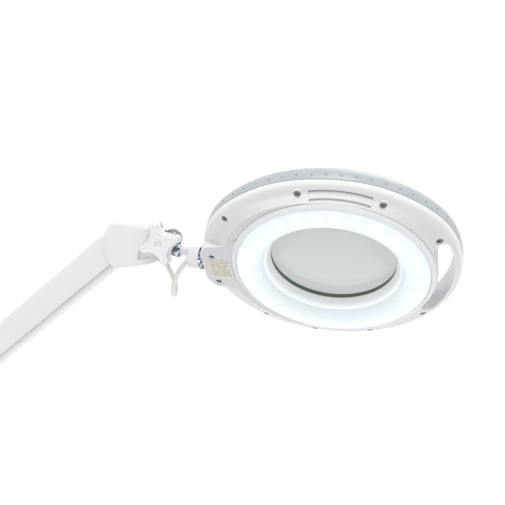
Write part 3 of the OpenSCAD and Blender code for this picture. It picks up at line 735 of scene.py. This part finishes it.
def slot_outline(grow):
    """The hand slot in plan, anticlockwise."""
    inner, outer, mid, end = 91 - grow, 104 + grow, 97.5, 6.5 + grow
    first, last = -20.5, 28.5
    ends = [(mid * math.cos(math.radians(a)), mid * math.sin(math.radians(a))) for a in (first, last)]
    line = arc((0, 0), outer, first, last, 40)
    line += arc(ends[1], end, last + 12, last + 168, 10)
    line += arc((0, 0), inner, last, first, 40)
    line += arc(ends[0], end, first - 168, first - 12, 10)
    return line


def slot_wall(skin, out):
    """The wall round the hand slot between the seam and a skin; out is -1 downwards, 1 upwards."""
    thick = 2.2
    base = SEAM_Z + out * 0.05
    rows = []
    for (x, y), (far_x, far_y) in zip(slot_outline(0), slot_outline(thick)):
        tip = skin_level(skin, x, y) + out * 0.25
        section = [(0, base), (0, tip - out * 1.0), (0.12, tip - out * 0.45), (0.45, tip - out * 0.1),
                   (0.9, tip), (1.5, tip - out * 0.12), (thick, tip - out * 0.7), (thick, base)]
        rows.append([(x + (far_x - x) * d / thick, y + (far_y - y) * d / thick, z) for d, z in section])
    return grid(rows)


def screw_level(x, y):
    """The height of a screw's rim, just inside the skin or the flat neck."""
    return (FACE_Z - 0.6 if x < -98 else skin_level(BOTTOM_SKIN, x, y)) + 1.2


def neck_prism(low_z, high_z, half_width, flare, end_x, edge):
    """The flat neck; its sides lean in towards the collar."""
    outline = [(NECK_FACE, -0.6 * half_width), (-112, -half_width), (-98, -half_width), (end_x, -flare),
               (end_x, flare), (-98, half_width), (-112, half_width), (NECK_FACE, 0.6 * half_width)]
    return prism(rounded(outline, [3, 5, 8, 0, 0, 8, 5, 3], 4), low_z, high_z, edge)


def bottom_shell():
    inner = [(HEAD_R - 21.6, FACE_Z + 2), (HEAD_R - 14.6, -5.8), (HEAD_R - 8.2, -3), (HEAD_R - 4.2, -1.2),
             (HEAD_R - 3.2, 0.4), (HEAD_R - 3.5, SEAM_Z)]
    profile = [*BOTTOM_SKIN, (HEAD_R - 21.2, FACE_Z), (RING_HOLE_R + 0.4, FACE_Z, True),
               (RING_HOLE_R, FACE_Z + 0.4, True), (RING_HOLE_R, FACE_Z + 2, True), *inner]
    shell = shape_object("bottom_shell_piece", oval(profile), HEAD)
    neck = neck_prism(FACE_Z - 0.6, SEAM_Z, 30, 41, -80, 1.6)
    carve(shell, neck, add=True)
    carve(shell, revolve([(0, -30), (RING_HOLE_R, -30), (RING_HOLE_R, 10), (0, 10)], 240),
          prism([(-115, -15), (-82, -27), (-82, 27), (-115, 15)], FACE_Z + 1.5, 10))
    cuts = [moved(rod(2.9, -30, screw_level(x, y) + 1.2, 0, 32), shift(x, y, 0)) for x, y in SCREW_SPOTS]
    for mid, start, end in ((91.8, -98, -67.8), (97.2, -98, -68)):
        band = arc((0, 0), mid + 0.95, start, end, 40) + arc((0, 0), mid - 0.95, end, start, 40)
        cuts.append(prism(band, -20, -1))
    carve(shell, *cuts)
    carve(shell, prism(slot_outline(0.9), -20, 10))
    finish_piece(shell, "shell_white", "head", ("bottom_shell",))
    posts = []
    for x, y in SCREW_SPOTS:
        rim = screw_level(x, y)
        post = [(0, rim + 1.1), (2.95, rim + 1.1), (2.95, rim), (4, rim + 0.6), (4, SEAM_Z), (0, SEAM_Z)]
        posts.append(moved(revolve(post, 32), shift(x, y, 0)))
    extra("slot_wall_lower", slot_wall(BOTTOM_SKIN, -1), "gloss_white", "bottom_shell", HEAD)
    extra("screw_posts", merged(*posts), "shell_white", "bottom_shell", HEAD)


def top_cover():
    inner = [(HEAD_R - 30.2, BACK_Z - 2), (HEAD_R - 17.6, 18.8), (HEAD_R - 8.6, 16.6), (HEAD_R - 4, 13.6),
             (HEAD_R - 2.4, 9.6), (HEAD_R - 2.8, 4.5), (HEAD_R - 3.9, SEAM_Z)]
    profile = [*TOP_SKIN, (67.4, BACK_Z, True), (66.8, BACK_Z - 0.5, True), (66.8, BACK_Z - 2, True), *inner]
    cover = shape_object("top_cover_piece", oval(profile), HEAD)
    carve(cover, neck_prism(SEAM_Z, 14, 26, 34, -100, 2.0), add=True)
    bosses = [box((LID_X - 3, s * 11 - 3, BACK_Z - 1), (LID_X + 3, s * 11 + 3, LID_Z), 0.6) for s in (1, -1)]
    carve(cover, *bosses, add=True)
    carve(cover, prism([(-115, -14), (-97, -20), (-97, 20), (-115, 14)], -5, 12),
          moved(rod(8, 5, 60, 0, 64), shift(BUTTON_X, 0, 0)))
    carve(cover, prism(slot_outline(0.9), -20, 60))
    finish_piece(cover, "cover_grey", "head", ("top_cover",))
    extra("slot_wall_upper", slot_wall(TOP_SKIN, 1), "gloss_white", "top_cover", HEAD)


def ring_light():
    bezel = rounded([(RING_HOLE_R - 0.1, -9), (RING_HOLE_R - 0.1, FACE_Z - 0.2), (89.8, FACE_Z - 0.2),
                     (89.9, FACE_Z - 0.8), (86.8, -13.9), (85.7, -14.2), (85.7, -9)],
                    [0, 0.2, 0.6, 0.8, 0.8, 0.5, 0], 4)
    piece("ring_bezel_piece", revolve(bezel, 240), "gloss_white", "ring_bezel", HEAD)
    outer = smooth([(85.6, -12.2), (84.6, -14.4), (81, -16.2), (74.5, -16.9), (68, -16), (63.6, -12.8),
                    (61.4, -8), (60.6, -4)], 5)
    inner = [(r + (0.9 if r < 70 else -0.4), z + 1.1) for r, z in reversed(outer)]
    piece("diffuser_piece", revolve(outer + inner, 240), "diffuser", "diffuser_ring", HEAD)
    funnel = [(66.7, 22), (66.7, -11.4), *smooth([(66.6, -12.0), (65.4, -12.1), (63.2, -10.4), (60.2, -5.6),
                                                  (57.8, -0.8), (56.7, 2.2), (56.5, 3.0)], 4),
              (56.6, 3.4), (64.4, 5), (64.4, 22)]
    # The funnel's look paints the ring's light on it as a glow
    piece("lens_housing_piece", revolve(funnel, 240), "funnel_white", "lens_housing", HEAD)
    # A dark sleeve inside the lens's edge: painted shade where the lens sits in the housing
    sleeve = [(56.6, 3.5), (57.2, 10.5), (59.4, 10.5), (59.4, 3.5)]
    extra("lens_rim_shade_sleeve", revolve(sleeve, 160), "lens_rim_shade", "lens_housing", HEAD)
    line = [(56.4, 2.9), (56.4, 3.5), (58, 3.5), (58, 2.9)]
    extra("lens_seat_line", revolve(line, 160), "seat_line", "lens_housing", HEAD)


def lens_parts():
    rim, bulge, lens_r, lens_z = 2, 3.4, 63.5, 10.4

    def half(r):
        return rim + bulge * (1 - (r / lens_r) ** 2)

    radii = [63.4 * i / 20 for i in range(21)]
    profile = [(r, lens_z - half(r)) for r in radii] + [(r, lens_z + half(r)) for r in reversed(radii)]
    piece("lens_piece", revolve(profile, 160), "lens_glass", "lens", HEAD, sharp=60)
    lid_top = smooth([(0, 27.8), (20, 27.7), (40, 27.2), (56, 26.3), (64, 25.2), (68, 23.9), (69, 22.8)], 3)
    lid_under = smooth([(67.2, 22.6), (62, 23.8), (40, 25.3), (20, 25.9), (0, 26.0)], 3)
    lid = shape_object("lens_lid_piece", revolve(lid_top + lid_under, 160), HEAD)
    tab = prism(rounded([(64, -10), (75, -9), (75, 9), (64, 10)], [0, 4, 4, 0], 5), 22.7, 25, 0.5)
    arm = box((LID_X, -7.7, LID_Z - 3), (-64, 7.7, LID_Z - 1), 0.3)
    barrel = moved(rod(3, -7.7, 7.7, 0.3, 40), shift(LID_X, 0, LID_Z) @ Matrix.Rotation(math.pi / 2, 4, "X"))
    carve(lid, tab, arm, barrel, add=True)
    finish_piece(lid, "shell_white", "lens_lid", ("lens_lid",))


def head_screws():
    cross = [box((-1.7, -0.35, -1.5), (1.7, 0.35, 0.9)), box((-0.35, -1.7, -1.5), (0.35, 1.7, 0.9))]
    screws = []
    for x, y in SCREW_SPOTS:
        cap = rounded([(0, 1.2), (0, -0.35), (1.5, -0.25), (2.55, 0.2), (2.7, 1.2)], [0, 0, 0.6, 0.4, 0], 3)
        screws.append(moved(revolve(cap, 32), shift(x, y, screw_level(x, y))))
        screws.append(moved(rod(1.25, 1, 14, 0.2, 16), shift(x, y, screw_level(x, y))))
    obj = shape_object("shell_screws_piece", merged(*screws), HEAD)
    carve(obj, *[moved(bar, shift(x, y, screw_level(x, y) - 0.2)) for x, y in SCREW_SPOTS for bar in cross])
    finish_piece(obj, "dark_steel", "head", ("shell_screws",))


def neck_fittings():
    outline = rounded([(-112.5, -11), (-91.5, -11), (-91.5, 14), (-112.5, 14)], 1.2, 4)
    plate = prism(outline, FACE_Z - 1.2, FACE_Z - 0.4, 0.1)
    piece("rating_plate_piece", plate, "label", "rating_plate", HEAD)
    lines = []
    random.seed(5)
    for row in range(8):
        y = -9.2 + 2.7 * row
        x = -111
        while x < -95:
            run = random.uniform(1.5, 5.0)
            lines.append(box((x, y, FACE_Z - 1.24), (min(x + run, -93), y + 1.1, FACE_Z - 1.1)))
            x += run + 0.9
    extra("rating_plate_print", merged(*lines), "label_print", "rating_plate", HEAD)
    frame_ring = rounded([(6.1, 12), (8, 12), (8, BACK_Z), (10, BACK_Z), (10, BACK_Z + 1.5),
                          (6.1, BACK_Z + 1.5)], [0, 0, 0.2, 0.2, 0.9, 0.5], 4)
    at_button = HEAD @ Matrix.Translation((BUTTON_X * MM, 0, 0))
    piece("button_frame_piece", revolve(frame_ring, 64), "shell_white", "button_frame", at_button)
    cap = rounded([(0, 14), (5.75, 14), (5.75, BACK_Z + 3.5), (4.4, BACK_Z + 3.4), (0, BACK_Z + 2.9)],
                  [0, 0, 0.9, 0.5, 0], 4)
    piece("power_button_piece", revolve(cap, 64), "button", "power_button", at_button)


# ---------- knuckle ----------

def star_outline(radius):
    """Four round-tipped lobes joined by hollow sides, anticlockwise."""
    tip_at, tip_r = 0.8 * radius, 0.2 * radius
    hollow_at, hollow_r = 1.2 * radius, 0.65 * radius
    diagonal = math.pi / 4
    lean = math.degrees(math.atan2(hollow_at * math.sin(diagonal), hollow_at * math.cos(diagonal) - tip_at))
    out = []
    for k in range(4):
        turn = 90 * k
        a, b = math.radians(turn), math.radians(turn + 45)
        out += arc((tip_at * math.cos(a), tip_at * math.sin(a)), tip_r, turn - lean, turn + lean, 12)[:-1]
        out += arc((hollow_at * math.cos(b), hollow_at * math.sin(b)), hollow_r,
                   turn + lean + 180, turn + 90 - lean + 180, 16)[:-1]
    return out


def star_knob_part(radius, thick, hub_r, hub_len, bore_r, bore_end, dimple_r):
    """A star knob, front face up at z = thick, hub below z = 0."""
    outline = star_outline(radius)
    angles = [math.atan2(y, x) for x, y in outline]

    def ring(r, z):
        return [(r * math.cos(a), r * math.sin(a), z) for a in angles]

    def level(d, z):
        return [(x, y, z) for x, y in (inset(outline, d) if d else outline)]

    rows = [ring(0, bore_end), ring(bore_r, bore_end), ring(bore_r, -hub_len), ring(hub_r - 0.3, -hub_len),
            ring(hub_r, -hub_len + 0.3), ring(hub_r, -0.6), ring(hub_r + 0.6, 0), level(1.4, 0),
            level(0.5, 0.25), level(0.1, 0.8), level(0, 1.5), level(0, thick - 3.9), level(0.25, thick - 3.4),
            level(1.3, thick - 3.3), level(1.3, thick - 2.2), level(0.55, thick - 2.1),
            level(0.5, thick - 1.2), level(0.65, thick - 0.6), level(1.1, thick - 0.15), level(1.7, thick),
            level(2.4, thick), level(2.9, thick - 0.15), level(3.3, thick - 0.5), level(3.5, thick - 0.55),
            ring(dimple_r + 2.4, thick - 0.4), ring(dimple_r + 0.5, thick - 0.3),
            ring(dimple_r, thick - 0.45), ring(dimple_r - 0.3, thick - 1.3),
            ring(dimple_r - 1.1, thick - 1.9), ring(0, thick - 2.1)]
    return grid(rows, closed=False)


def knobs():
    turn = Matrix.Rotation(math.radians(17.5), 4, "Z")
    knob = star_knob_part(radius=20, thick=11, hub_r=8, hub_len=6.8, bore_r=3.05, bore_end=7.05, dimple_r=3.9)
    place = facing_viewer(Vector((TILT.x, -18, TILT.z)))
    piece("star_knob_piece", moved(moved(knob, turn), place), "knob_white", "star_knob", sharp=40)
    bolt = middle("elbow_bolt")
    knob = star_knob_part(radius=17, thick=9, hub_r=7, hub_len=4.4, bore_r=3.05, bore_end=5.05, dimple_r=3.4)
    piece("elbow_knob_piece", moved(knob, facing_viewer(Vector((bolt.x, -22, bolt.z)))), "knob_white",
          "elbow_knob", sharp=40)


def neck_parts():
    collar = rounded([(3.9, -133.6), (3.9, -136), (10.6, -136), (10.6, -123.6), (3.9, -123.6)],
                     [0, 0.4, 3.4, 0.5, 0], 6)
    at_neck = along_x((NECK.x, 0, NECK.z))
    piece("neck_collar_piece", moved(revolve(collar, 96), at_neck), "gloss_white", "neck_collar")
    rows = []
    teeth, twist = 30, 0.055
    for i in range(teeth * 4):
        a = math.tau * i / (teeth * 4)
        tooth = (11.35, 10.75, 10.3, 10.75)[i % 4]
        rows.append([(r * math.cos(a + t), r * math.sin(a + t), z) for r, z, t in (
            (5.6, -123.5, 0), (tooth - 0.4, -123.5, 0), (tooth, -123.4, 0), (tooth, -122.1, twist),
            (10.2, -122, twist), (10.2, -121.8, twist), (11.0, -121.7, 0), (11.0, -120.8, 0),
            (10.8, -120.65, 0), (8.5, -120.6, 0), (8.4, -119.05, 0), (5.6, -119.05, 0))])
    piece("neck_washer_piece", moved(grid(rows), at_neck), "zinc", "neck_washer", sharp=25)
    rod_z = middle("neck_rod").z
    eye = revolve(rounded([(3.05, -4), (6.8, -4), (6.8, 4), (3.05, 4)], [0.4, 1.6, 1.6, 0.4], 6), 72)
    eye = moved(eye, facing_viewer(Vector((TILT.x, 0, TILT.z))))
    shank = revolve(rounded([(0, -3), (4.6, -3), (4.2, 2.5), (6, 4.0), (6, 8.6), (4.4, 9.0), (0, 9.0)],
                            [0, 0.5, 1.5, 0.6, 0.6, 0.3, 0], 4), 64)
    shank = moved(shank, along_x((TILT.x + 2, 0, rod_z)))
    web_outline = rounded([(TILT.x - 4.5, TILT.z - 3), (TILT.x, rod_z - 4.6), (TILT.x + 7, rod_z - 4.6),
                           (TILT.x + 7, rod_z + 4.6), (TILT.x + 6.5, TILT.z + 1)], 2, 4)
    web = moved(prism(web_outline, -3.4, 3.4, 1.0), VIEWER)
    tongue = shape_object("tilt_tongue_piece", eye)
    carve(tongue, shank, web, add=True)
    carve(tongue, moved(rod(3.06, -9, 9, 0, 48), facing_viewer(Vector((TILT.x, 0, TILT.z)))))
    finish_piece(tongue, "zinc", "knuckle", ("tilt_tongue",))
    washer = [(3.05, 4.15), (6.6, 4.15), (6.6, 8.95), (3.05, 8.95)]
    washers = [moved(revolve(rounded(washer, 0.4, 3), 64), facing_viewer(Vector((TILT.x, y, TILT.z))))
               for y in (0, 13.1)]
    piece("tilt_washer_pieces", merged(*washers), "zinc", "tilt_washers")
    rod_part = revolve(rounded([(0, 11.05), (4, 11.05), (4, 21.2), (0, 21.2)], [0, 0.3, 0, 0], 3), 64)
    piece("neck_rod_piece", moved(rod_part, along_x((TILT.x, 0, rod_z))), "gloss_white", "neck_rod")


CABLE_ROUTE = [(-169, 5, -3.8), (-167, 5, -4.3), (-164.6, 5.1, -5.7), (-162.2, 5.5, -8.2),
               (-160.4, 6.1, -11.4), (-158.8, 7, -15.4), (-157.2, 8.2, -20), (-155.8, 9.2, -24.6),
               (-154.4, 9.4, -29), (-153.2, 8, -33.2), (-152.2, 4.8, -36.4), (-151.4, 0, -37.6),
               (-150.6, -4.8, -36.4), (-149.8, -8, -33.2), (-149, -9.4, -29), (-148.2, -9.2, -24.6),
               (-147, -8.2, -20), (-145.4, -6.6, -15.6), (-143.4, -4.4, -11.4), (-141, -2.4, -7.8),
               (-139.4, -1.3, -5.6), (-137, -0.3, -4.3)]
CABLE_D = 4.6


def cable():
    path = [Vector(p) + NECK for p in smooth(CABLE_ROUTE, 5)]
    obj = shape_object("cable_loop_piece", tube(path, CABLE_D / 2, 24))
    obj.data.materials.append(LOOKS["cable"])
    obj.data.shade_smooth()
    obj.data.set_sharp_from_angle(angle=math.radians(50))
    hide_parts("cable_loop")
    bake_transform(obj)


# ---------- block at the arm's end ----------

def rounded_section(x, half_w, low_z, high_z, radii, steps=6):
    """A closed row in the YZ plane; radii are front-top, back-top, back-bottom, front-bottom."""
    corners = [(-half_w, high_z, radii[0], 180, 90), (half_w, high_z, radii[1], 90, 0),
               (half_w, low_z, radii[2], 0, -90), (-half_w, low_z, radii[3], -90, -180)]
    row = []
    for y, z, r, start, end in corners:
        centre = (y - math.copysign(r, y), z - r if z == high_z else z + r)
        row += [(x, py, pz) for py, pz in arc(centre, r, start, end, steps)]
    return row


def end_block():
    origin = pivot("end_level")
    bite_r, bite_x, bite_z = 32.2, 16, -11.5
    rows = []
    stations = [-15.9, -15.2, -14, -12, -9, -5, 0, 6, 12, 18, 23, 26, 28, 30, 31.4, 32.4, 32.9, 33]
    for x in stations:
        high_z, low_z = 9.9 - 0.012 * max(0, x), -33.3 + max(0, x + 3) * 5.4 / 36
        if x < 2:
            arch = math.sqrt(bite_r ** 2 - (bite_x - x) ** 2)
            high_z, low_z = min(high_z, bite_z + arch), max(low_z, bite_z - arch)
        share = max(0, (x + 16) / 49)
        fade = max(0, (x - 24) / 9)
        close = 1 - math.sqrt(max(0, 1 - fade * fade))
        half_w = 17.4 - 4.5 * close
        radii = [1.2 + 5.2 * share, 4.0, 1.6, 1.6]
        shrink = 1.2 * close
        rows.append(rounded_section(x, half_w, low_z + shrink, high_z - shrink, radii))
    at = Matrix.Translation(origin)
    block = shape_object("end_cover_piece", moved(grid(rows, closed=False, caps=True), at))
    hollows = [box((-20, -15.4, -40), (1, 15.4, 7.4)), box((-20, -15.4, 0), (-5, 15.4, 20)),
               box((0, -15.4, -30), (12, 15.4, 7.4)), box((11, -13.2, -26), (31, 13.2, 6))]
    carve(block, *[moved(hollow, at) for hollow in hollows])
    window = rounded([(18.5, -24.6), (36, -21), (36, -13), (20, -14)], [1.5, 0, 0, 3], 5)
    carve(block, moved(box((29, -11.4, -19), (34, 11.4, 5)), at), moved(prism(window, 14.6, 22), at @ VIEWER),
          moved(rod(3.4, 29, 36, 0, 32), at @ along_x((0, 5, -26.8))))
    finish_piece(block, "gloss_white", "end_block", ("end_cover",), sharp=30, bevel=0.35)


# ---------- arms ----------

# A spring runs from this far straight above the arm's first pivot to a pin in the channel
SPRING_LIFT, SPRING_PIN_X = 6, 165


def arm_spring(node, arm_place, slope, name):
    """A close-wound tension spring with a hook at each end, along its arm."""
    start = Vector((SPRING_LIFT * math.sin(slope), 0, SPRING_LIFT * math.cos(slope)))
    stop = Vector((SPRING_PIN_X, 0, 0))
    run = stop - start
    length = run.length
    coil_r, wire, first, last = 2.8, 0.55, 30, length - 18
    turns = int((last - first) / (2.15 * wire))
    path = [Vector((1.9 * math.cos(a), 0, 1.9 * math.sin(a))) for a in
            (math.radians(-150 + 20 * i) for i in range(13))]
    path += [Vector((first - 4, 0, 0)), Vector((first - 1, 0, 1.2))]
    path += [Vector((first + (last - first) * i / (turns * 12), coil_r * math.sin(math.tau * i / 12),
                     coil_r * math.cos(math.tau * i / 12))) for i in range(turns * 12 + 1)]
    path += [Vector((last + 1, 0, 1.2)), Vector((last + 4, 0, 0))]
    path += [Vector((length + 2.3 * math.cos(a), 0, 2.3 * math.sin(a))) for a in
             (math.radians(150 - 20 * i) for i in range(15))]
    part = tube(path, wire, 6)
    turn = Matrix.Translation(start) @ Matrix.Rotation(-math.atan2(run.z, run.x), 4, "Y")
    piece(name, moved(part, turn), "bare_steel", node, arm_place, sharp=60)


def arms():
    for node in ("lower_channel", "upper_channel", "lower_link", "upper_link"):
        refined(node, "paint_white", 0.35, sharp=28)
    lower_run = pivot("elbow_level") - pivot("lower_lift")
    upper_run = pivot("end_level") - pivot("upper_lift")
    arm_spring("lower_spring", LOWER_ARM, math.atan2(lower_run.z, lower_run.x), "lower_spring_piece")
    arm_spring("upper_spring", UPPER_ARM, math.atan2(upper_run.z, upper_run.x), "upper_spring_piece")
    for node in ("lower_spring_pin", "upper_spring_pin", "base_pins", "elbow_pins", "end_pins",
                 "base_bracket", "elbow_bracket", "end_bracket", "tilt_bolt", "elbow_bolt", "spigot",
                 "neck_bolt", "neck_block", "lid_pin", "clamp_pad"):
        refined(node, "bare_steel", 0.3)
    for node in ("elbow_cover", "base_cover"):
        refined(node, "gloss_white", 0.9)
    for node in ("cable_bush", "socket_bush", "lens_retainer"):
        refined(node, "gloss_white", 0.2)
    refined("lead_inlet", "rubber", 0.4)
    refined("lens_gasket", "rubber", 0.1)
    refined("led_board", "board_white", 0.1)
    refined("led_chips", "chip", 0.1)
    refined("led_driver", "circuit", 0.2)


# ---------- clamp ----------

def clamp():
    refined("clamp_frame", "paint_white", 0.8, sharp=30)
    refined("socket_knob", "knob_white", 0.7)
    refined("clamp_handle", "knob_white", 1.0)
    refined("pad_liner", "rubber", 0.3)
    liner = [box((-24, -18, 0), (24, 18, 1.1), 0.4)]
    liner += [moved(rod(0.45, -17.5, 17.5, 0.2, 10), shift(x, 0, 0.46) @ Matrix.Rotation(math.pi / 2, 4, "X"))
              for x in (-22 + 2.2 * i for i in range(21))]
    liner.append(box((-24, -18, 0.9), (24, 18, 1.5), 0.1))
    piece("jaw_liner_piece", merged(*liner), "rubber", "jaw_liner")
    bottom, top = low("clamp_screw").z, high("clamp_screw").z
    pitch, per_turn, root_r, tooth = 1.75, 24, 5.15, 0.83
    thread_top = top - 5.4
    turns = int((thread_top - bottom - 3) / pitch)
    rows = []
    for i in range(turns * per_turn + 1):
        a = math.tau * i / per_turn
        z = bottom + 2 + pitch * i / per_turn
        run_in = min(1, i / per_turn, (turns * per_turn - i) / per_turn)
        crest = root_r + tooth * run_in
        rows.append([(r * math.cos(a), r * math.sin(a), z + dz) for r, dz in (
            (4.6, -0.8), (5.2, -0.78), (crest, -0.16), (crest, 0.16), (5.2, 0.78), (4.6, 0.8))])
    thread = grid(rows, closed=False, caps=True)
    shaft = [(0, bottom), (5.2, bottom), (5.2, thread_top), (4, thread_top + 0.3), (4, top), (0, top)]
    core = revolve(rounded(shaft, [0, 0.8, 0.4, 0.3, 0.5, 0], 3), 48)
    piece("clamp_screw_piece", merged(core, thread), "bare_steel", "clamp_screw", sharp=50)


# ---------- build ----------

cable()
bottom_shell()
top_cover()
ring_light()
lens_parts()
head_screws()
neck_fittings()
knobs()
neck_parts()
end_block()
arms()
clamp()
